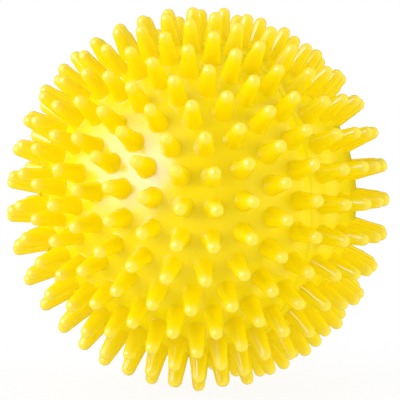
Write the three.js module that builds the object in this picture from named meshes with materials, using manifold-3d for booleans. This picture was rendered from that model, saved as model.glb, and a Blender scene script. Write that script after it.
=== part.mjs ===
// A hollow, air-filled massage ball, covered with blunt conical spikes. It is moulded as two half shells
// that are welded at the equator. One half carries a soft valve seat, closed by a pull-out stopper.
//
// Units are millimetres. The origin is the ball's centre. The moulding axis is X: the plain pole is at -X
// and the valve is at +X. Z is up.

import * as THREE from "three";
import { ConvexGeometry } from "three/addons/geometries/ConvexGeometry.js";
import { mergeVertices } from "three/addons/utils/BufferGeometryUtils.js";
import Module from "manifold-3d";

const wasm = await Module();
wasm.setup();

const FULL_TURN = 2 * Math.PI;

// The ball.
const OUTER_RADIUS = 45; // to the spike tips
const SKIN_RADIUS = 37.2; // the skin between the spikes
const WALL = 2.2;
const INNER_RADIUS = SKIN_RADIUS - WALL;
const GAP = 0.3; // clearance between neighbouring pieces

// The spikes stand in rings about the moulding axis, and every ring of a half starts on one meridian.
const RING_SIZES = [1, 6, 13, 18, 23, 27, 30, 32, 34]; // spikes in each ring, from the pole to the equator
const RING_PITCH_DEG = 10.5;
const PLAIN_START_DEG = 183.7; // the starting meridian, turned from +Z towards -Y
const VALVE_START_DEG = 90;
const SPIKE_ROOT_RADIUS = 2.35;
const SPIKE_TIP_RADIUS = 1.3;
const SPIKE_SHOULDER = 0.8; // how far below its tip a spike starts to round off
const SPIKE_SIDES = 6;
const SIDE_TURN = FULL_TURN / SPIKE_SIDES;
// A polygon with its corners this much further out has the area of the circle.
const POLYGON_TO_CIRCLE = Math.sqrt(SIDE_TURN / Math.sin(SIDE_TURN));

// The weld: a tongue on the plain half enters a groove in the valve half.
const TONGUE_LENGTH = 1.5;
const TONGUE_RADIUS = INNER_RADIUS + 0.95;

// The valve, along +X.
const BOSS_RADIUS = 5.2;
const BOSS_INNER_END = SKIN_RADIUS - 7.2;
const BORE_RADIUS = 2.4;
const RECESS_RADIUS = 3.4;
const RECESS_FLOOR = SKIN_RADIUS - 1.3;
const SEAT_TOP = SKIN_RADIUS - 0.3;
const SEAT_INNER_END = SKIN_RADIUS - 9.4;
const BEAD_RADIUS = 3.0;
const BEAD_LENGTH = 1.9;
const SEAT_HOLE_RADIUS = 1.5;
const HEAD_RADIUS = 2.7;
const HEAD_HEIGHT = 0.9;
const HEAD_CHAMFER = 0.3;
const SHANK_RADIUS = SEAT_HOLE_RADIUS - GAP;
const SHANK_END_RADIUS = 0.85;
const SHANK_LENGTH = 7.4;

const ROUND_SEGMENTS = 40;
const SMALL_SEGMENTS = 24;
const CAVITY_ROWS = 8;
const OVERRUN = 3; // how far a cutting tool passes the surface that it cuts
const SAME_DIRECTION = 0.99999; // unit vectors with a larger dot product point the same way
const NO_LENGTH = 1e-6;

// Finishes.
const YELLOW_VINYL = { color: "#ffdc00", roughness: 0.35 };
const SEAT_VINYL = { color: "#f2c500", roughness: 0.45 };
const STOPPER_PLASTIC = { color: "#f1eee2", roughness: 0.4 };

// Turns a closed geometry into a manifold-3d solid.
function solid(geometry) {
  const bare = geometry.clone();
  bare.deleteAttribute("normal");
  bare.deleteAttribute("uv");
  const merged = mergeVertices(bare);
  return new wasm.Manifold(
    new wasm.Mesh({
      numProp: 3,
      vertProperties: merged.attributes.position.array,
      triVerts: new Uint32Array(merged.index.array),
    }),
  );
}

// Turns a manifold-3d solid back into a geometry.
function geometryOf(made) {
  const mesh = made.getMesh();
  const geometry = new THREE.BufferGeometry();
  geometry.setAttribute("position", new THREE.BufferAttribute(mesh.vertProperties, 3));
  geometry.setIndex(new THREE.BufferAttribute(mesh.triVerts, 1));
  const faceted = geometry.toNonIndexed();
  faceted.computeVertexNormals();
  return faceted;
}

// A solid turned about the X axis, from a closed or axis-to-axis profile of [x, radius] points with rising x.
function turned(profile, segments) {
  const points = profile.map(([x, radius]) => new THREE.Vector2(radius, x));
  const lathe = new THREE.LatheGeometry(points, segments);
  lathe.rotateZ(-Math.PI / 2);
  return solid(lathe);
}

function disc(radius, low, high, segments) {
  return turned(
    [
      [low, 0],
      [low, radius],
      [high, radius],
      [high, 0],
    ],
    segments,
  );
}

// The outward directions of the spikes on the half whose pole points along side (-1 or +1) on X.
function spikeDirections(side, startDeg) {
  return RING_SIZES.flatMap((size, ring) => {
    const fromPole = THREE.MathUtils.degToRad(ring * RING_PITCH_DEG);
    return Array.from({ length: size }, (_, place) => {
      const turn = THREE.MathUtils.degToRad(startDeg + (360 * place) / size);
      return new THREE.Vector3(
        side * Math.cos(fromPole),
        -Math.sin(fromPole) * Math.sin(turn),
        Math.sin(fromPole) * Math.cos(turn),
      );
    });
  });
}

// The corners of a spike's cross-section at a height along its direction, anticlockwise seen from its tip.
function spikeSection(direction, height, radius) {
  const across = new THREE.Vector3(0, 0, 1).cross(direction);
  if (across.lengthSq() < NO_LENGTH) across.set(0, 1, 0);
  across.normalize();
  const along = new THREE.Vector3().crossVectors(direction, across);
  return Array.from({ length: SPIKE_SIDES }, (_, corner) => {
    const turn = SIDE_TURN * corner;
    return direction
      .clone()
      .multiplyScalar(height)
      .addScaledVector(across, radius * POLYGON_TO_CIRCLE * Math.cos(turn))
      .addScaledVector(along, radius * POLYGON_TO_CIRCLE * Math.sin(turn));
  });
}

// The root section's corners lie on the skin.
function rootSection(direction) {
  const cornerRadius = SPIKE_ROOT_RADIUS * POLYGON_TO_CIRCLE;
  return spikeSection(direction, Math.sqrt(SKIN_RADIUS ** 2 - cornerRadius ** 2), SPIKE_ROOT_RADIUS);
}

// The triangles of a spike's tapered sides and blunt tip.
function spikeTriangles(direction) {
  const root = rootSection(direction);
  const shoulder = spikeSection(direction, OUTER_RADIUS - SPIKE_SHOULDER, SPIKE_TIP_RADIUS);
  const tip = direction.clone().multiplyScalar(OUTER_RADIUS);
  return root.flatMap((corner, i) => {
    const next = (i + 1) % SPIKE_SIDES;
    return [
      [corner, root[next], shoulder[next]],
      [corner, shoulder[next], shoulder[i]],
      [shoulder[i], shoulder[next], tip],
    ];
  });
}

// The ring of skin points where a half ends, a half gap short of the equator plane.
function rimPoints(side) {
  const x = (side * GAP) / 2;
  const radius = Math.sqrt(SKIN_RADIUS ** 2 - x ** 2);
  return Array.from({ length: ROUND_SEGMENTS }, (_, i) => {
    const turn = (FULL_TURN * i) / ROUND_SEGMENTS;
    return new THREE.Vector3(x, radius * Math.sin(turn), radius * Math.cos(turn));
  });
}

// The triangles of the convex hull of some points, leaving out the flat facets that face along a spike.
function skinTriangles(points, spikes) {
  const position = new ConvexGeometry(points).getAttribute("position");
  const triangles = [];
  for (let i = 0; i < position.count; i += 3) {
    const corners = [0, 1, 2].map((j) => new THREE.Vector3().fromBufferAttribute(position, i + j));
    const normal = new THREE.Triangle(...corners).getNormal(new THREE.Vector3());
    if (!spikes.some((spike) => spike.dot(normal) > SAME_DIRECTION)) triangles.push(corners);
  }
  return triangles;
}

// A solid half ball with its spikes. With a bare pole, the first direction has no spike.
function spikyDome(side, startDeg, barePole) {
  const spikes = spikeDirections(side, startDeg).slice(barePole ? 1 : 0);
  const pole = barePole ? [new THREE.Vector3(side * SKIN_RADIUS, 0, 0)] : [];
  const points = [...spikes.flatMap(rootSection), ...rimPoints(side), ...pole];
  const triangles = [...skinTriangles(points, spikes), ...spikes.flatMap(spikeTriangles)];
  const geometry = new THREE.BufferGeometry().setFromPoints(triangles.flat());
  return solid(geometry);
}

// The hollow of a half: a half ball that runs on past the equator as a cylinder.
function cavity(side) {
  const arc = Array.from({ length: CAVITY_ROWS + 1 }, (_, i) => {
    const turn = (Math.PI / 2) * (i / CAVITY_ROWS);
    return [side * INNER_RADIUS * Math.cos(turn), i === 0 ? 0 : INNER_RADIUS * Math.sin(turn)];
  });
  const profile = [...arc, [-side * OVERRUN, INNER_RADIUS], [-side * OVERRUN, 0]];
  return turned(side < 0 ? profile : profile.reverse(), ROUND_SEGMENTS);
}

function plainHalfShell() {
  const tongue = disc(TONGUE_RADIUS, -OVERRUN, TONGUE_LENGTH, ROUND_SEGMENTS);
  return spikyDome(-1, PLAIN_START_DEG, false).add(tongue).subtract(cavity(-1));
}

function valveHalfShell() {
  const groove = disc(TONGUE_RADIUS + GAP, -OVERRUN, TONGUE_LENGTH + GAP, ROUND_SEGMENTS);
  const boss = disc(BOSS_RADIUS, BOSS_INNER_END, RECESS_FLOOR, SMALL_SEGMENTS);
  const bore = disc(BORE_RADIUS, BOSS_INNER_END - OVERRUN, SKIN_RADIUS + OVERRUN, SMALL_SEGMENTS);
  const recess = disc(RECESS_RADIUS, RECESS_FLOOR, SKIN_RADIUS + OVERRUN, SMALL_SEGMENTS);
  return spikyDome(1, VALVE_START_DEG, true)
    .subtract(groove)
    .subtract(cavity(1))
    .add(boss)
    .subtract(bore)
    .subtract(recess);
}

// A flanged insert with a retaining bead on its inner end and a hole through it.
function valveSeat() {
  const beadTop = SEAT_INNER_END + BEAD_LENGTH;
  const bodyRadius = BORE_RADIUS - GAP;
  const flangeFloor = RECESS_FLOOR + GAP;
  const body = turned(
    [
      [SEAT_INNER_END, 0],
      [SEAT_INNER_END, bodyRadius],
      [SEAT_INNER_END + BEAD_LENGTH / 2, BEAD_RADIUS],
      [beadTop, BEAD_RADIUS],
      [beadTop, bodyRadius],
      [flangeFloor, bodyRadius],
      [flangeFloor, RECESS_RADIUS - GAP],
      [SEAT_TOP, RECESS_RADIUS - GAP],
      [SEAT_TOP, 0],
    ],
    SMALL_SEGMENTS,
  );
  const hole = disc(SEAT_HOLE_RADIUS, SEAT_INNER_END - OVERRUN, SEAT_TOP + OVERRUN, SMALL_SEGMENTS);
  return body.subtract(hole);
}

// A headed stopper with a tapered shank. Its head's outer face is flat.
function valveStopper() {
  const headFloor = SEAT_TOP + GAP;
  const headTop = headFloor + HEAD_HEIGHT;
  return turned(
    [
      [headFloor - SHANK_LENGTH, 0],
      [headFloor - SHANK_LENGTH, SHANK_END_RADIUS],
      [headFloor, SHANK_RADIUS],
      [headFloor, HEAD_RADIUS],
      [headTop - HEAD_CHAMFER, HEAD_RADIUS],
      [headTop, HEAD_RADIUS - HEAD_CHAMFER],
      [headTop, 0],
    ],
    SMALL_SEGMENTS,
  );
}

function part(name, made, finish) {
  const material = new THREE.MeshStandardMaterial({ ...finish, metalness: 0 });
  const mesh = new THREE.Mesh(geometryOf(made), material);
  mesh.name = name;
  return mesh;
}

const ball = new THREE.Group();
ball.name = "massage_ball";
ball.add(
  part("plain_half_shell", plainHalfShell(), YELLOW_VINYL),
  part("valve_half_shell", valveHalfShell(), YELLOW_VINYL),
  part("valve_seat", valveSeat(), SEAT_VINYL),
  part("valve_stopper", valveStopper(), STOPPER_PLASTIC),
);

export default ball;
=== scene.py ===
import math
import random

import bmesh
import bpy
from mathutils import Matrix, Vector
from mathutils.geometry import delaunay_2d_cdt


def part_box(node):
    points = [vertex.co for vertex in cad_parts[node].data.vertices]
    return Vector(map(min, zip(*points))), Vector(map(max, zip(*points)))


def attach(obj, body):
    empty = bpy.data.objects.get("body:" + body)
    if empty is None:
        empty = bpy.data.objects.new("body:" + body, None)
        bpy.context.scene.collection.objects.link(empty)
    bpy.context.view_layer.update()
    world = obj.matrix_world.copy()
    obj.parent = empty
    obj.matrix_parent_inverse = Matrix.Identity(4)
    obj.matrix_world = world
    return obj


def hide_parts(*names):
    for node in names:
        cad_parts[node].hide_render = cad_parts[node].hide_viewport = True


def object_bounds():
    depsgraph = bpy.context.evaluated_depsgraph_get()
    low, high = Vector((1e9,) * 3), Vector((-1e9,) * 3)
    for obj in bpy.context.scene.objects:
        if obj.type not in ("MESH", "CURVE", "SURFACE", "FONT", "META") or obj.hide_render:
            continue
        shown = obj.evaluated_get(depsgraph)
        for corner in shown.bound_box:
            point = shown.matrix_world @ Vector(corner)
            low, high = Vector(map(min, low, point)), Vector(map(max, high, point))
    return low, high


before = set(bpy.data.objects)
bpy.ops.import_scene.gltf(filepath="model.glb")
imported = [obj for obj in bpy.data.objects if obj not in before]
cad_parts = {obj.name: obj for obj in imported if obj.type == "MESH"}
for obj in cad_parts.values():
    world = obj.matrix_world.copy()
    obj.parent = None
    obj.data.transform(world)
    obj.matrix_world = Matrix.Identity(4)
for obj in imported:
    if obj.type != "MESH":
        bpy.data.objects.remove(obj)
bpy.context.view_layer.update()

# A spiky massage ball: two moulded vinyl half shells, a soft valve seat and a stopper. The moulding axis is
# X, with the valve at +X. Lengths are in metres.
MM = 0.001

# The ball. The outer radius and the valve's place come from the CAD nodes.
OUTER_RADIUS = -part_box("plain_half_shell")[0].x
STOPPER_LOW, STOPPER_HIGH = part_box("valve_stopper")
SEAT_LOW, SEAT_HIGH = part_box("valve_seat")
SPIKE_HEIGHT = 7.8 * MM
WALL = 2.2 * MM
SKIN_RADIUS = OUTER_RADIUS - SPIKE_HEIGHT
INNER_RADIUS = SKIN_RADIUS - WALL

# Spikes stand in rings about the moulding axis, and every ring of a half starts on one meridian.
RING_SIZES = (1, 6, 13, 18, 23, 27, 30, 32, 34)
RING_PITCH = math.radians(10.5)
PLAIN_START = math.radians(183.7)
VALVE_START = math.radians(90.0)
PLAIN_SEED = 11
VALVE_SEED = 12

# A spike: a fillet at the root, a straight flank and a rounded end with a dimple in it.
SPIKE_SEGMENTS = 24
ROOT_RADIUS = 2.25 * MM
TIP_RADIUS = 1.28 * MM  # where the straight flank would reach the outer radius
FILLET_RADIUS = 0.25 * MM
FILLET_STEPS = 5
FLANK_SHARES = (0.2, 0.4, 0.6, 0.8)  # where the flank has rings between the fillet and the end
SUPPORT_WIDTH = 0.08 * MM  # a ring that keeps the skin's shading off the fillet
END_HEIGHT = 1.25 * MM  # over which the flank rounds off
END_STEPS = 8
DIMPLE_RADIUS = 0.35 * MM
DIMPLE_DEPTH = 0.10 * MM
DIMPLE_SHAPE = (0.75, 0.6)  # a ring inside the dimple, as shares of its radius and depth
LEAN = 0.10 * MM  # standard deviation of how far a soft spike's tip leans off its axis, each way
STRETCH = 0.08 * MM  # standard deviation of a spike's length
LEAN_CURVE = 1.6  # the power with which a lean grows along the spike
NO_LENGTH = 1e-3  # a vector shorter than this has no direction of its own

# The weld seam and what lies inside. Radii are from the moulding axis.
RIM_SEGMENTS = 160
SEAM_HALF_WIDTH = 0.12 * MM
SEAM_DEPTH = 0.08 * MM
FACE_GAP = 0.01 * MM
TONGUE_LENGTH = 1.5 * MM
TONGUE_RADIUS = INNER_RADIUS + 0.95 * MM
TONGUE_GAP = 0.05 * MM
INNER_ROWS = 24
HOLLOW_START = 1.0 * MM  # how far beyond the groove the hollow of the valve half starts
MERGE_DISTANCE = 1e-9
SHARP_ANGLE = math.radians(40)

# The valve, turned about the moulding axis.
VALVE_SEGMENTS = 96
BOSS_RADIUS = 5.2 * MM
BOSS_INNER_END = SKIN_RADIUS - 7.2 * MM
BORE_RADIUS = 2.4 * MM
RECESS_RADIUS = 3.4 * MM
RECESS_FLOOR = SKIN_RADIUS - 1.3 * MM
RECESS_ROUND = 0.25 * MM
RECESS_ROUND_STEPS = 4
SEAT_GAP = 0.05 * MM  # between the seat and the shell
FLANGE_GAP = 0.12 * MM
SEAT_HOLE_RADIUS = 1.5 * MM
SEAT_HOLE_CHAMFER = (0.2 * MM, 0.25 * MM)  # along the axis and across it
BEAD_RADIUS = 3.0 * MM
BEAD_LENGTH = 1.9 * MM
SEAT_ROUND = 0.12 * MM
SEAT_ROUND_STEPS = 3
HEAD_HEIGHT = 0.9 * MM
SHANK_RADIUS = 1.2 * MM
LEAD_RADIUS = 0.9 * MM
LEAD_LENGTH = 0.7 * MM
SHANK_END_RADIUS = 0.6 * MM
STOPPER_ROUND = 0.22 * MM
STOPPER_ROUND_STEPS = 5
LONGEST_REACH = 0.45  # of a side, for the rounding of the corner at either end of it


def turn_point(x, radius, turn):
    """A point at a turn about the X axis, counted from +Z towards -Y."""
    return Vector((x, -radius * math.sin(turn), radius * math.cos(turn)))


def arc(centre, radius, start, end, steps):
    """Points on an arc in a profile's plane, angles in degrees, both ends included."""
    angles = [math.radians(start + (end - start) * i / steps) for i in range(steps + 1)]
    return [(centre[0] + radius * math.cos(a), centre[1] + radius * math.sin(a)) for a in angles]


class Surface:
    """Vertices and faces of one piece, collected ring by ring."""

    def __init__(self):
        self.points = []
        self.faces = []

    def ring(self, points):
        """Adds points and returns their indices."""
        first = len(self.points)
        self.points.extend(points)
        return list(range(first, len(self.points)))

    def bridge(self, low, high):
        """Quads between two rings of the same size, or triangles to a single point."""
        count = len(low)
        for i in range(count):
            j = (i + 1) % count
            if len(high) == 1:
                self.faces.append((low[i], low[j], high[0]))
            else:
                self.faces.append((low[i], low[j], high[j], high[i]))

    def piece(self, name):
        """A smooth shaded object in the scene, with sharp edges only at its corners."""
        mesh = bpy.data.meshes.new(name)
        mesh.from_pydata(self.points, [], self.faces)
        work = bmesh.new()
        work.from_mesh(mesh)
        bmesh.ops.recalc_face_normals(work, faces=work.faces)
        work.to_mesh(mesh)
        work.free()
        mesh.shade_smooth()
        mesh.set_sharp_from_angle(angle=SHARP_ANGLE)
        made = bpy.data.objects.new(name, mesh)
        bpy.context.scene.collection.objects.link(made)
        return made


def spike_directions(side, start):
    """The outward directions of the spikes on the half whose pole is at side (-1 or +1) on X."""
    found = []
    for ring, size in enumerate(RING_SIZES):
        tilt = ring * RING_PITCH
        for place in range(size):
            turn = start + math.tau * place / size
            found.append(turn_point(side * math.cos(tilt), math.sin(tilt), turn))
    return found


def skin_height(radius):
    """How far along a spike's axis the skin is, at a distance from the axis."""
    return math.sqrt(SKIN_RADIUS**2 - radius**2)


def cone_radius(height):
    """The radius of a spike's straight flank, at a height from the ball's centre."""
    share = (height - SKIN_RADIUS) / (OUTER_RADIUS - SKIN_RADIUS)
    return ROOT_RADIUS + (TIP_RADIUS - ROOT_RADIUS) * share


def spike_profile():
    """(distance from the spike's axis, height along it) pairs from the skin to the middle of the tip."""
    slope = math.atan((ROOT_RADIUS - TIP_RADIUS) / (OUTER_RADIUS - SKIN_RADIUS))
    skin_radius = ROOT_RADIUS + FILLET_RADIUS
    lean = math.asin(skin_radius / SKIN_RADIUS)
    # The fillet's centre is one fillet radius above the skin and to the side of the spike's flank.
    base = skin_height(skin_radius)
    centre = (skin_radius + FILLET_RADIUS * math.sin(lean), base + FILLET_RADIUS * math.cos(lean))
    fillet_start = -90 - math.degrees(lean)
    fillet_end = -180 + math.degrees(slope)
    fillet = arc(centre, FILLET_RADIUS, fillet_start, fillet_end, FILLET_STEPS)
    # The end is the cone, drawn in by an ellipse as far as the rim of the dimple.
    last = math.acos(DIMPLE_RADIUS / TIP_RADIUS)
    rounding = [last * i / END_STEPS for i in range(END_STEPS + 1)]
    end_start = OUTER_RADIUS - END_HEIGHT * math.sin(last)
    end = []
    for turn in rounding:
        height = end_start + END_HEIGHT * math.sin(turn)
        end.append((cone_radius(height) * math.cos(turn), height))
    low = fillet[-1][1]
    flank = [low + (end_start - low) * share for share in FLANK_SHARES]
    support = (skin_radius + SUPPORT_WIDTH, skin_height(skin_radius + SUPPORT_WIDTH))
    dimple = [
        (DIMPLE_RADIUS * DIMPLE_SHAPE[0], OUTER_RADIUS - DIMPLE_DEPTH * DIMPLE_SHAPE[1]),
        (0.0, OUTER_RADIUS - DIMPLE_DEPTH),
    ]
    return [support] + fillet + [(cone_radius(height), height) for height in flank] + end + dimple


PROFILE = spike_profile()


def add_spike(surface, direction, chance):
    """Adds one spike and returns its ring on the skin."""
    across = Vector((0, 0, 1)).cross(direction)
    if across.length < NO_LENGTH:
        across = Vector((0, 1, 0))
    across.normalize()
    along = direction.cross(across)
    lean = (across * chance.gauss(0, 1) + along * chance.gauss(0, 1)) * LEAN
    stretch = chance.gauss(0, 1) * STRETCH
    turns = [math.tau * i / SPIKE_SEGMENTS for i in range(SPIKE_SEGMENTS)]
    spokes = [across * math.cos(t) + along * math.sin(t) for t in turns]
    rings = []
    for radius, height in PROFILE:
        share = max(0.0, (height - SKIN_RADIUS) / (OUTER_RADIUS - SKIN_RADIUS))
        centre = direction * (height + stretch * share) + lean * share**LEAN_CURVE
        points = [centre + spoke * radius for spoke in spokes] if radius > 0 else [centre]
        rings.append(surface.ring(points))
    for low, high in zip(rings, rings[1:]):
        surface.bridge(low, high)
    return rings[0]


def loop_edges(loops, place):
    """The edges around each loop, as pairs of places."""
    edges = []
    for loop in loops:
        for i, index in enumerate(loop):
            after = loop[(i + 1) % len(loop)]
            edges.append((place[index], place[after]))
    return edges


def fill_skin(surface, side, loops):
    """Triangles between the loops, which all lie on the skin. A stereographic projection from the far pole
    makes the skin flat and keeps its circles round, so a flat Delaunay fill is also one of the sphere."""
    used = [index for loop in loops for index in loop]
    owner = {index: number for number, loop in enumerate(loops) for index in loop}
    flat = []
    for index in used:
        unit = surface.points[index].normalized()
        scale = 1 / (1 + side * unit.x)
        flat.append(Vector((unit.y * scale, unit.z * scale)))
    place = {index: i for i, index in enumerate(used)}
    _, _, faces, origin, _, _ = delaunay_2d_cdt(flat, loop_edges(loops, place), [], 0, MERGE_DISTANCE)
    for face in faces:
        corners = [used[origin[i][0]] for i in face]
        # A face with all its corners on one loop would cover that loop's hole.
        if len({owner[c] for c in corners}) > 1:
            surface.faces.append(tuple(corners))


def turned_rings(surface, profile, segments):
    """One ring about the X axis for each (x, radius) of a profile, or one point where the radius is 0."""
    rings = []
    for x, radius in profile:
        turns = [math.tau * i / segments for i in range(segments)] if radius > 0 else [0.0]
        rings.append(surface.ring([turn_point(x, radius, t) for t in turns]))
    return rings


def half_shell(name, side, start, bare_pole, seed, inside):
    """One half shell, with its pole at side on X and its spikes' rings starting on the meridian start.
    A bare pole has no spike. inside is the (depth, radius) profile from the rim through the hollow to the
    pole, where depth is counted along the moulding axis from the seam into this half."""
    surface = Surface()
    chance = random.Random(seed)
    directions = spike_directions(side, start)
    if bare_pole:
        directions = directions[1:]
    loops = [add_spike(surface, direction, chance) for direction in directions]
    rings = turned_rings(surface, [(side * depth, radius) for depth, radius in inside], RIM_SEGMENTS)
    for low, high in zip(rings, rings[1:]):
        surface.bridge(low, high)
    loops.append(rings[0])
    if bare_pole:
        loops.append(rings[-1])
    fill_skin(surface, side, loops)
    return surface.piece(name)


def rim_profile(step_radius):
    """The seam's groove, then the face of the rim down to the step of the tongue or the groove for it."""
    edge = math.sqrt(SKIN_RADIUS**2 - SEAM_HALF_WIDTH**2)
    return [
        (SEAM_HALF_WIDTH, edge),
        (FACE_GAP, SKIN_RADIUS - SEAM_DEPTH),
        (FACE_GAP, step_radius),
    ]


def hollow_profile(smallest):
    """The inner skin from the seam to where its radius is down to smallest."""
    last = math.asin(smallest / INNER_RADIUS)
    turns = [math.pi / 2 + (last - math.pi / 2) * i / INNER_ROWS for i in range(INNER_ROWS + 1)]
    return [(INNER_RADIUS * math.cos(t), INNER_RADIUS * math.sin(t)) for t in turns]


def plain_inside():
    """The rim, the tongue and the hollow of the plain half."""
    tongue = [(-TONGUE_LENGTH, TONGUE_RADIUS), (-TONGUE_LENGTH, INNER_RADIUS)]
    hollow = hollow_profile(0.0)
    # The pole has a radius of exactly 0, so that it is one point.
    hollow[-1] = (INNER_RADIUS, 0.0)
    return rim_profile(TONGUE_RADIUS) + tongue + hollow


def valve_inside():
    """The rim, the groove for the tongue, the hollow and the boss of the valve half, with the bore and the
    recess for the seat."""
    step = TONGUE_RADIUS + TONGUE_GAP
    depth = TONGUE_LENGTH + TONGUE_GAP
    groove = [(depth, step), (depth, math.sqrt(INNER_RADIUS**2 - depth**2))]
    hollow_start = depth + HOLLOW_START
    hollow = [point for point in hollow_profile(BOSS_RADIUS) if point[0] > hollow_start]
    boss = [(BOSS_INNER_END, BOSS_RADIUS), (BOSS_INNER_END, BORE_RADIUS)]
    recess = [(RECESS_FLOOR, BORE_RADIUS), (RECESS_FLOOR, RECESS_RADIUS)]
    edge_radius = RECESS_RADIUS + RECESS_ROUND
    edge_centre = (skin_height(edge_radius) - RECESS_ROUND, edge_radius)
    edge = arc(edge_centre, RECESS_ROUND, -90, 0, RECESS_ROUND_STEPS)
    # The last ring lies exactly on the skin.
    edge[-1] = (skin_height(edge_radius), edge_radius)
    return rim_profile(step) + groove + hollow + boss + recess + edge


def rounded(profile, size, steps):
    """A profile with every corner between its ends rounded off by a short curve."""
    points = [profile[0]]
    for before, corner, after in zip(profile, profile[1:], profile[2:]):
        a, b, c = Vector(before), Vector(corner), Vector(after)
        reach = min(size, (a - b).length * LONGEST_REACH, (c - b).length * LONGEST_REACH)
        start = b + (a - b).normalized() * reach
        end = b + (c - b).normalized() * reach
        for i in range(steps + 1):
            t = i / steps
            points.append(tuple(start * (1 - t) ** 2 + b * 2 * t * (1 - t) + end * t**2))
    return points + [profile[-1]]


def turned_piece(name, profile, closed):
    """A piece turned about the X axis, from a profile that is closed or starts and ends on the axis."""
    surface = Surface()
    rings = turned_rings(surface, profile, VALVE_SEGMENTS)
    for low, high in zip(rings, rings[1:]):
        if len(low) == 1:
            low, high = high, low
        surface.bridge(low, high)
    if closed:
        surface.bridge(rings[-1], rings[0])
    return surface.piece(name)


def valve_seat():
    """The soft insert: a flange in the recess, a body in the bore, a bead inside and a hole through it."""
    inner, outer = SEAT_LOW.x, SEAT_HIGH.x
    chamfer_length, chamfer_width = SEAT_HOLE_CHAMFER
    body = BORE_RADIUS - SEAT_GAP
    flange = RECESS_RADIUS - FLANGE_GAP
    flange_floor = RECESS_FLOOR + SEAT_GAP
    bead_top = inner + BEAD_LENGTH
    hole_top = outer - chamfer_length
    middle = [((hole_top + inner) / 2, SEAT_HOLE_RADIUS)]
    corners = [
        (inner, SEAT_HOLE_RADIUS),
        (inner, body),
        (inner + BEAD_LENGTH / 2, BEAD_RADIUS),
        (bead_top, BEAD_RADIUS),
        (bead_top, body),
        (flange_floor, body),
        (flange_floor, flange),
        (outer, flange),
        (outer, SEAT_HOLE_RADIUS + chamfer_width),
        (hole_top, SEAT_HOLE_RADIUS),
    ]
    # Starting halfway down the hole lets every corner be rounded.
    path = rounded(middle + corners + middle, SEAT_ROUND, SEAT_ROUND_STEPS)
    return turned_piece("valve_seat_insert", path[:-1], True)


def valve_stopper():
    """A headed stopper with a tapered shank and a slight lead at its end."""
    inner, outer = STOPPER_LOW.x, STOPPER_HIGH.x
    head = STOPPER_HIGH.z
    head_floor = outer - HEAD_HEIGHT
    profile = [
        (inner, 0.0),
        (inner, SHANK_END_RADIUS),
        (inner + LEAD_LENGTH, LEAD_RADIUS),
        (head_floor, SHANK_RADIUS),
        (head_floor, head),
        (outer, head),
        (outer, 0.0),
    ]
    path = rounded(profile, STOPPER_ROUND, STOPPER_ROUND_STEPS)
    return turned_piece("valve_stopper_plug", path, False)


# Materials. Colours are linear red, green, blue and alpha.
VINYL = ((0.95, 0.755, 0.0, 1), (0.98, 0.785, 0.0, 1))  # the two ends of its faint cloudiness
# Painted light: the paler colour of the spike tips, for light passing through their thin ends and falling on
# them.
PAINTED_LIGHT_TIP = (0.96, 0.755, 0.07, 1)
VINYL_ROUGHNESS = (0.20, 0.26)
TIP_START = SKIN_RADIUS + 5.2 * MM  # where painted light starts to make a spike paler
TIP_END = OUTER_RADIUS - 0.1 * MM
WAVE_HEIGHT = 0.06 * MM
PIT_HEIGHT = 0.006 * MM
SEAT = ((0.82, 0.50, 0.0, 1), (0.90, 0.57, 0.0, 1))
SEAT_ROUGHNESS = (0.36, 0.48)
SEAT_SCATTER = 0.25
STOPPER = ((0.80, 0.77, 0.68, 1), (0.87, 0.84, 0.75, 1))
STOPPER_ROUGHNESS = (0.32, 0.44)
STOPPER_SCATTER = 0.4
GRAIN_HEIGHT = 0.02 * MM
GRAIN_STRENGTH = 0.4
# Most of a noise lies between these two values.
NOISE_RANGE = (0.3, 0.7)
GRAIN_RANGE = (0.25, 0.75)
# The scales of the noises, in cells per metre, each with its detail.
VINYL_CLOUDS = (90.0, 2.0)
VINYL_SHEEN = (300.0, 3.0)
VINYL_WAVES = (130.0, 1.0)
VINYL_PITS = (5000.0, 2.0)
PLASTIC_CLOUDS = (350.0, 2.0)
PLASTIC_GRAIN = (2500.0, 3.0)


def material(name):
    """A new material, its node tree and its shader."""
    made = bpy.data.materials.new(name)
    made.use_nodes = True
    return made, made.node_tree, made.node_tree.nodes["Principled BSDF"]


def node(tree, kind, **values):
    """A node with its properties and inputs set by name."""
    made = tree.nodes.new(kind)
    for key, value in values.items():
        if key in made.inputs:
            made.inputs[key].default_value = value
        else:
            setattr(made, key, value)
    return made


def noise(tree, scale, detail):
    """Noise in the object's own space, with its scale in cells per metre."""
    coordinates = node(tree, "ShaderNodeTexCoord")
    made = node(tree, "ShaderNodeTexNoise", Scale=scale, Detail=detail, Roughness=0.5)
    tree.links.new(coordinates.outputs["Object"], made.inputs["Vector"])
    return made.outputs["Fac"]


def ranged(tree, source, low, high, to_low, to_high):
    """A smooth step of a value from one range to another."""
    made = node(tree, "ShaderNodeMapRange", interpolation_type="SMOOTHSTEP")
    made.inputs["From Min"].default_value = low
    made.inputs["From Max"].default_value = high
    made.inputs["To Min"].default_value = to_low
    made.inputs["To Max"].default_value = to_high
    tree.links.new(source, made.inputs["Value"])
    return made.outputs["Result"]


def feed(tree, source, socket):
    """Sets an input from another node's output, or from a plain value."""
    if isinstance(source, bpy.types.NodeSocket):
        tree.links.new(source, socket)
    else:
        socket.default_value = source


def mixed_colour(tree, share, low, high):
    """A colour that goes from low to high as share goes from 0 to 1. Either end is a colour or a socket."""
    made = node(tree, "ShaderNodeMix", data_type="RGBA")
    # The node also has sockets for numbers and vectors. These are the ones for colours.
    factor, first, second = made.inputs[0], made.inputs[6], made.inputs[7]
    feed(tree, share, factor)
    feed(tree, low, first)
    feed(tree, high, second)
    return made.outputs[2]


def clouded(tree, clouds, ends):
    """A colour that drifts between two ends."""
    share = ranged(tree, noise(tree, *clouds), *NOISE_RANGE, 0.0, 1.0)
    return mixed_colour(tree, share, *ends)


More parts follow.
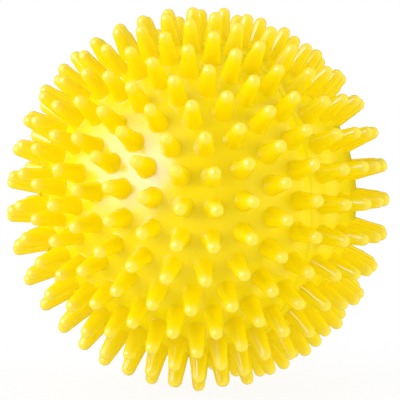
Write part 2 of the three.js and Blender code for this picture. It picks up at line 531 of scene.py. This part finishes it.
def from_centre(tree):
    """The distance from the object's origin."""
    place = node(tree, "ShaderNodeTexCoord")
    made = node(tree, "ShaderNodeVectorMath", operation="LENGTH")
    tree.links.new(place.outputs["Object"], made.inputs[0])
    return made.outputs["Value"]


def bump(tree, height, distance, strength=1.0):
    """A bump node that raises the surface by distance where the height is 1."""
    made = node(tree, "ShaderNodeBump", Distance=distance, Strength=strength)
    tree.links.new(height, made.inputs["Height"])
    return made


def vinyl():
    """Glossy, slightly translucent yellow vinyl. Its spike tips are painted paler: painted light for the
    light that passes through their thin ends and falls on them.
    """
    made, tree, shader = material("yellow_vinyl")
    # Painted light: the share of the paler tip colour grows towards the spike's end.
    painted_tip_light_share = ranged(tree, from_centre(tree), TIP_START, TIP_END, 0.0, 1.0)
    colour = mixed_colour(tree, painted_tip_light_share, clouded(tree, VINYL_CLOUDS, VINYL), PAINTED_LIGHT_TIP)
    roughness = ranged(tree, noise(tree, *VINYL_SHEEN), *NOISE_RANGE, *VINYL_ROUGHNESS)
    waves = bump(tree, noise(tree, *VINYL_WAVES), WAVE_HEIGHT)
    pits = bump(tree, noise(tree, *VINYL_PITS), PIT_HEIGHT)
    tree.links.new(waves.outputs["Normal"], pits.inputs["Normal"])
    tree.links.new(colour, shader.inputs["Base Color"])
    tree.links.new(roughness, shader.inputs["Roughness"])
    tree.links.new(pits.outputs["Normal"], shader.inputs["Normal"])
    shader.inputs["Subsurface Weight"].default_value = 0.25
    shader.inputs["Subsurface Radius"].default_value = (1.0, 0.85, 0.15)
    shader.inputs["Subsurface Scale"].default_value = 1.0 * MM
    shader.inputs["IOR"].default_value = 1.5
    shader.inputs["Coat Weight"].default_value = 0.35
    shader.inputs["Coat Roughness"].default_value = 0.08
    shader.inputs["Coat IOR"].default_value = 1.15
    return made


def soft_plastic(name, ends, roughness, scatter):
    """A plain moulded plastic for the valve, with faint cloudiness and a fine satin grain."""
    made, tree, shader = material(name)
    grain = noise(tree, *PLASTIC_GRAIN)
    relief = bump(tree, grain, GRAIN_HEIGHT, GRAIN_STRENGTH)
    tree.links.new(clouded(tree, PLASTIC_CLOUDS, ends), shader.inputs["Base Color"])
    tree.links.new(ranged(tree, grain, *GRAIN_RANGE, *roughness), shader.inputs["Roughness"])
    tree.links.new(relief.outputs["Normal"], shader.inputs["Normal"])
    shader.inputs["Subsurface Weight"].default_value = scatter
    shader.inputs["Subsurface Scale"].default_value = 0.8 * MM
    return made


yellow = vinyl()
# Each piece, its body, the CAD node that it stands in for, its material and its material slot.
pieces = [
    (
        half_shell("plain_half_shell_skin", -1, PLAIN_START, False, PLAIN_SEED, plain_inside()),
        "ball",
        "plain_half_shell",
        yellow,
        "yellow_vinyl",
    ),
    (
        half_shell("valve_half_shell_skin", 1, VALVE_START, True, VALVE_SEED, valve_inside()),
        "ball",
        "valve_half_shell",
        yellow,
        "yellow_vinyl",
    ),
    (
        valve_seat(),
        "ball",
        "valve_seat",
        soft_plastic("seat_vinyl", SEAT, SEAT_ROUGHNESS, SEAT_SCATTER),
        "seat_vinyl",
    ),
    (
        valve_stopper(),
        "stopper",
        "valve_stopper",
        soft_plastic("stopper_plastic", STOPPER, STOPPER_ROUGHNESS, STOPPER_SCATTER),
        "stopper_plastic",
    ),
]
for made, body, cad_node, finish, slot in pieces:
    made.data.materials.append(finish)
    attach(made, body)
    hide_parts(cad_node)

# The floor, just under the lowest spikes. It glows like the white surround that it runs into, and a little
# less below the ball, where a faint shadow shows.
FLOOR_SIZE = 12.0
PAPER = (0.92, 0.92, 0.92, 1)
WHITE = (1, 1, 1, 1)
GLOW_START = 0.02  # from the point below the ball
GLOW_END = 0.15
GLOW = (0.9, 1.0)  # how much of the floor's look is its own light, at those two distances


def white_paper():
    """Matt white paper that gives off most of its light itself."""
    made, tree, shader = material("white_paper")
    shader.inputs["Base Color"].default_value = PAPER
    shader.inputs["Roughness"].default_value = 0.9
    shader.inputs["Specular IOR Level"].default_value = 0.1
    glow = node(tree, "ShaderNodeEmission", Color=WHITE, Strength=1.0)
    mix = node(tree, "ShaderNodeMixShader")
    tree.links.new(ranged(tree, from_centre(tree), GLOW_START, GLOW_END, *GLOW), mix.inputs[0])
    tree.links.new(shader.outputs[0], mix.inputs[1])
    tree.links.new(glow.outputs[0], mix.inputs[2])
    tree.links.new(mix.outputs[0], tree.nodes["Material Output"].inputs["Surface"])
    return made


bpy.ops.mesh.primitive_plane_add(size=FLOOR_SIZE, location=(0, 0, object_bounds()[0].z))
floor = bpy.context.object
floor.name = "floor"
floor.visible_glossy = False
floor.data.materials.append(white_paper())

# The camera.
CAMERA_AZIMUTH = math.radians(-42.8)
CAMERA_ELEVATION = 3.1  # degrees above the horizon
CAMERA_DISTANCE = 0.5
FRAME_WIDTH = 0.0941  # what the frame's width covers at the ball's centre
FRAME_SHIFT = (0.0045, -0.004)  # right and up, as a share of the frame's width
SENSOR_MM = 36.0


def toward(right, up):
    """The direction from the ball to a place in the studio, in degrees right of the camera and above the
    horizon."""
    azimuth = CAMERA_AZIMUTH + math.radians(right)
    elevation = math.radians(up)
    return Vector(
        (
            math.sin(azimuth) * math.cos(elevation),
            -math.cos(azimuth) * math.cos(elevation),
            math.sin(elevation),
        )
    )


def faced_back(direction):
    """The rotation of a camera or a lamp that looks back at the ball from a direction."""
    return (-direction).to_track_quat("-Z", "Y")


camera_data = bpy.data.cameras.new("camera")
camera = bpy.data.objects.new("camera", camera_data)
bpy.context.scene.collection.objects.link(camera)
bpy.context.scene.camera = camera
TO_CAMERA = toward(0, CAMERA_ELEVATION)
camera.location = TO_CAMERA * CAMERA_DISTANCE
camera.rotation_mode = "QUATERNION"
camera.rotation_quaternion = faced_back(TO_CAMERA)
camera_data.sensor_width = SENSOR_MM
camera_data.lens = SENSOR_MM * CAMERA_DISTANCE / FRAME_WIDTH
camera_data.shift_x, camera_data.shift_y = FRAME_SHIFT
camera_data.clip_start = 0.01
camera_data.clip_end = 50.0

# Light. Two softboxes and the surround give the diffuse light. What the gloss mirrors is painted on the
# surround, and what the camera sees of it is plain white.
LIGHT_DISTANCE = 0.6
BOX_WIDTH = 0.6
BOX_HEIGHT = 0.5
KEY = (-56, 20, 2.25)  # degrees right of the camera, degrees above the horizon, radiance
FILL = (58, -4, 2.45)
SURROUND_SIDE = 1.03  # the surround's radiance from the sides and behind
SURROUND_FRONT = 0.46  # and from around the camera
FRONT_START = 0.0  # cosines of the angle from the camera's direction between which it dims
FRONT_END = 0.95

# The mirrored softbox. Its edges are where a fade starts and ends, in tangents of the angle from its middle.
CARD_RIGHT = -61
CARD_UP = 21
CARD_COLOUR = (5.0, 5.9, 17.0)
CARD_AHEAD = (0.05, 0.2)  # cosines of that angle over which it fades in, as it has no mirror image behind
CARD_LEFT_EDGE = (-1.20, 0.55)
CARD_RIGHT_EDGE = (0.66, 0.76)
CARD_BOTTOM_EDGE = (-0.75, -0.10)
CARD_TOP_EDGE = (0.10, 0.80)

# The mirrored rings: degrees from the camera's direction, and the colour there.
DIM = (0.28, 0.20, 0.0, 1)
DARK = (0.14, 0.10, 0.0, 1)
PALE = (1.3, 1.15, 0.55, 1)
RINGS = (
    (0, DIM),
    (78, DIM),
    (84, PALE),
    (92, PALE),
    (96, DIM),
    (103, DARK),
    (107, DARK),
    (112, PALE),
    (117, PALE),
    (120, DARK),
    (180, DARK),
)
RINGS_SIDE = (-0.5, 0.1)  # the rings fade in over these cosines from straight right of the camera


def softbox(name, right, up, radiance):
    """A rectangular light that faces the ball, seen by neither the gloss nor the camera."""
    data = bpy.data.lights.new(name, "AREA")
    data.shape = "RECTANGLE"
    data.size = BOX_WIDTH
    data.size_y = BOX_HEIGHT
    data.energy = radiance * math.pi * BOX_WIDTH * BOX_HEIGHT
    lamp = bpy.data.objects.new(name, data)
    bpy.context.scene.collection.objects.link(lamp)
    direction = toward(right, up)
    lamp.location = direction * LIGHT_DISTANCE
    lamp.rotation_mode = "QUATERNION"
    lamp.rotation_quaternion = faced_back(direction)
    lamp.visible_glossy = False
    lamp.visible_camera = False


def maths(tree, operation, first, second=0.0):
    """A product, arc cosine or such of a socket, and of a second socket or number where it takes two."""
    made = node(tree, "ShaderNodeMath", operation=operation)
    tree.links.new(first, made.inputs[0])
    feed(tree, second, made.inputs[1])
    return made.outputs[0]


def along(tree, direction, axis):
    """The component of a direction along an axis."""
    made = node(tree, "ShaderNodeVectorMath", operation="DOT_PRODUCT")
    tree.links.new(direction, made.inputs[0])
    made.inputs[1].default_value = axis
    return made.outputs["Value"]


def mirrored_card(tree, direction):
    """How much of the softbox the gloss mirrors: soft at its top, bottom and left, crisp at its right."""
    centre = toward(CARD_RIGHT, CARD_UP)
    across = toward(CARD_RIGHT + 90, 0)
    ahead = along(tree, direction, centre)
    right = maths(tree, "DIVIDE", along(tree, direction, across), ahead)
    up = maths(tree, "DIVIDE", along(tree, direction, centre.cross(across)), ahead)
    share = ranged(tree, ahead, *CARD_AHEAD, 0.0, 1.0)
    for value, edge, before, after in (
        (right, CARD_LEFT_EDGE, 0.0, 1.0),
        (right, CARD_RIGHT_EDGE, 1.0, 0.0),
        (up, CARD_BOTTOM_EDGE, 0.0, 1.0),
        (up, CARD_TOP_EDGE, 1.0, 0.0),
    ):
        share = maths(tree, "MULTIPLY", share, ranged(tree, value, *edge, before, after))
    return share


def mirrored_rings(tree, direction):
    """Pale and dark rings about the camera's axis, which streak the sides of the spikes on the right."""
    angle = maths(tree, "ARCCOSINE", along(tree, direction, TO_CAMERA))
    ramp = node(tree, "ShaderNodeValToRGB")
    steps = ramp.color_ramp.elements
    # A new ramp has two colours. The first one is kept.
    steps.remove(steps[1])
    steps[0].color = RINGS[0][1]
    for degrees, colour in RINGS[1:]:
        steps.new(degrees / 180).color = colour
    tree.links.new(maths(tree, "DIVIDE", angle, math.pi), ramp.inputs[0])
    side = ranged(tree, along(tree, direction, toward(90, 0)), *RINGS_SIDE, 0.0, 1.0)
    return mixed_colour(tree, side, DIM, ramp.outputs[0])


def mirrored_surround(tree, direction):
    """The colour that the gloss mirrors from a direction."""
    card = node(tree, "ShaderNodeVectorMath", operation="SCALE")
    card.inputs[0].default_value = CARD_COLOUR
    tree.links.new(mirrored_card(tree, direction), card.inputs["Scale"])
    total = node(tree, "ShaderNodeVectorMath", operation="ADD")
    tree.links.new(card.outputs[0], total.inputs[0])
    tree.links.new(mirrored_rings(tree, direction), total.inputs[1])
    return total.outputs[0]


def shown_to(tree, rays, usual, special):
    """A background that is special for one kind of ray."""
    path = node(tree, "ShaderNodeLightPath")
    mix = node(tree, "ShaderNodeMixShader")
    tree.links.new(path.outputs[rays], mix.inputs[0])
    tree.links.new(usual, mix.inputs[1])
    tree.links.new(special, mix.inputs[2])
    return mix.outputs[0]


def surround():
    """The world: dimmer near the camera as a light, painted for the gloss and white for the camera."""
    world = bpy.data.worlds.new("world")
    world.use_nodes = True
    tree = world.node_tree
    direction = node(tree, "ShaderNodeTexCoord").outputs["Generated"]
    facing = along(tree, direction, TO_CAMERA)
    ambient = tree.nodes["Background"]
    ambient.inputs["Color"].default_value = WHITE
    shade = ranged(tree, facing, FRONT_START, FRONT_END, SURROUND_SIDE, SURROUND_FRONT)
    tree.links.new(shade, ambient.inputs["Strength"])
    mirrored = node(tree, "ShaderNodeBackground", Strength=1.0)
    tree.links.new(mirrored_surround(tree, direction), mirrored.inputs["Color"])
    seen = node(tree, "ShaderNodeBackground", Color=WHITE, Strength=1.0)
    lit = shown_to(tree, "Is Glossy Ray", ambient.outputs[0], mirrored.outputs[0])
    whole = shown_to(tree, "Is Camera Ray", lit, seen.outputs[0])
    tree.links.new(whole, tree.nodes["World Output"].inputs["Surface"])
    return world


softbox("key_light", *KEY)
softbox("fill_light", *FILL)
bpy.context.scene.world = surround()
bpy.context.scene.view_settings.view_transform = "Standard"
